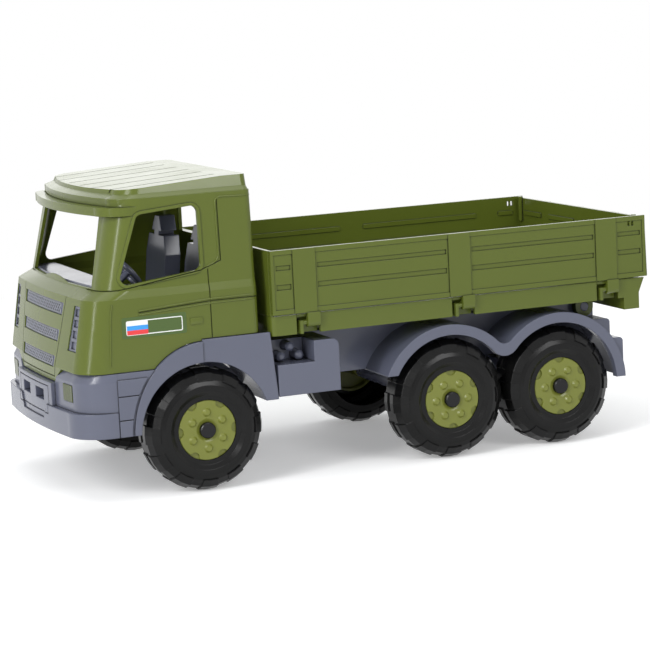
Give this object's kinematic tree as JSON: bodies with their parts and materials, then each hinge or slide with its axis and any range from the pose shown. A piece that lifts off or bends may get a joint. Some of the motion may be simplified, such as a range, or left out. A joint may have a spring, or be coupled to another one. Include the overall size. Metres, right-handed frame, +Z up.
{
  "type": "toy military flatbed lorry",
  "caption": "Moulded plastic toy army flatbed lorry in olive green and blue-grey, with free-rolling wheels, a tipping bed, folding sides and a folding tailgate",
  "frame": {"origin": "on the ground below the middle of the toy's length and width", "axes": "+X forward towards the cab, +Y to the toy's left, +Z up"},
  "size_m": [0.4518, 0.2038, 0.2198],
  "materials": {
    "olive_plastic": "glossy moulded olive-green plastic with faint flow marks",
    "blue_grey_plastic": "semi-gloss moulded blue-grey plastic",
    "black_plastic": "soft black moulded plastic with a low sheen",
    "steel_pin": "bright drawn steel"
  },
  "bodies": {
    "chassis": {"axle_front": "steel_pin", "axle_middle": "steel_pin", "axle_rear": "steel_pin", "chassis_frame": "blue_grey_plastic", "mudguard_left": "blue_grey_plastic", "mudguard_right": "blue_grey_plastic", "front_bumper": "blue_grey_plastic", "side_box_left": "blue_grey_plastic", "side_box_right": "blue_grey_plastic", "grille_inserts": "blue_grey_plastic", "cab_floor": "blue_grey_plastic", "dashboard": "blue_grey_plastic", "steering_wheel": "blue_grey_plastic", "seats": "blue_grey_plastic", "headlamps": "olive_plastic", "cab_shell": "olive_plastic"},
    "wheel_front_left": {"tyre_front_left": "black_plastic", "hub_cap_front_left": "black_plastic", "hub_front_left": "olive_plastic"},
    "wheel_front_right": {"tyre_front_right": "black_plastic", "hub_cap_front_right": "black_plastic", "hub_front_right": "olive_plastic"},
    "wheel_middle_left": {"tyre_middle_left": "black_plastic", "hub_cap_middle_left": "black_plastic", "hub_middle_left": "olive_plastic"},
    "wheel_middle_right": {"tyre_middle_right": "black_plastic", "hub_cap_middle_right": "black_plastic", "hub_middle_right": "olive_plastic"},
    "wheel_rear_left": {"tyre_rear_left": "black_plastic", "hub_cap_rear_left": "black_plastic", "hub_rear_left": "olive_plastic"},
    "wheel_rear_right": {"tyre_rear_right": "black_plastic", "hub_cap_rear_right": "black_plastic", "hub_rear_right": "olive_plastic"},
    "bed": {"bed_frame": "olive_plastic", "headboard": "olive_plastic"},
    "drop_side_left": {"side_board_left": "olive_plastic"},
    "drop_side_right": {"side_board_right": "olive_plastic"},
    "tail_flap": {"tailgate": "olive_plastic"}
  },
  "joints": [
    {"name": "wheel_front_left_spin", "type": "hinge", "parent": "chassis", "child": "wheel_front_left", "pos_m": [0.1279, 0.0825, 0.0438], "axis": [0, 1, 0], "continuous": true},
    {"name": "wheel_front_right_spin", "type": "hinge", "parent": "chassis", "child": "wheel_front_right", "pos_m": [0.1279, -0.0825, 0.0438], "axis": [0, 1, 0], "continuous": true},
    {"name": "wheel_middle_left_spin", "type": "hinge", "parent": "chassis", "child": "wheel_middle_left", "pos_m": [-0.0617, 0.0825, 0.0438], "axis": [0, 1, 0], "continuous": true},
    {"name": "wheel_middle_right_spin", "type": "hinge", "parent": "chassis", "child": "wheel_middle_right", "pos_m": [-0.0617, -0.0825, 0.0438], "axis": [0, 1, 0], "continuous": true},
    {"name": "wheel_rear_left_spin", "type": "hinge", "parent": "chassis", "child": "wheel_rear_left", "pos_m": [-0.1507, 0.0825, 0.0438], "axis": [0, 1, 0], "continuous": true},
    {"name": "wheel_rear_right_spin", "type": "hinge", "parent": "chassis", "child": "wheel_rear_right", "pos_m": [-0.1507, -0.0825, 0.0438], "axis": [0, 1, 0], "continuous": true},
    {"name": "bed_tip", "type": "hinge", "parent": "chassis", "child": "bed", "pos_m": [-0.1911, 0, 0.0955], "axis": [0, -1, 0], "range_deg": [0, 35]},
    {"name": "drop_side_left_fold", "type": "hinge", "parent": "bed", "child": "drop_side_left", "pos_m": [-0.0749, 0.0986, 0.1124], "axis": [-1, 0, 0], "range_deg": [0, 140]},
    {"name": "drop_side_right_fold", "type": "hinge", "parent": "bed", "child": "drop_side_right", "pos_m": [-0.0749, -0.0986, 0.1124], "axis": [1, 0, 0], "range_deg": [0, 140]},
    {"name": "tailgate_fold", "type": "hinge", "parent": "bed", "child": "tail_flap", "pos_m": [-0.2225, 0, 0.1124], "axis": [0, -1, 0], "range_deg": [0, 140]}
  ]
}
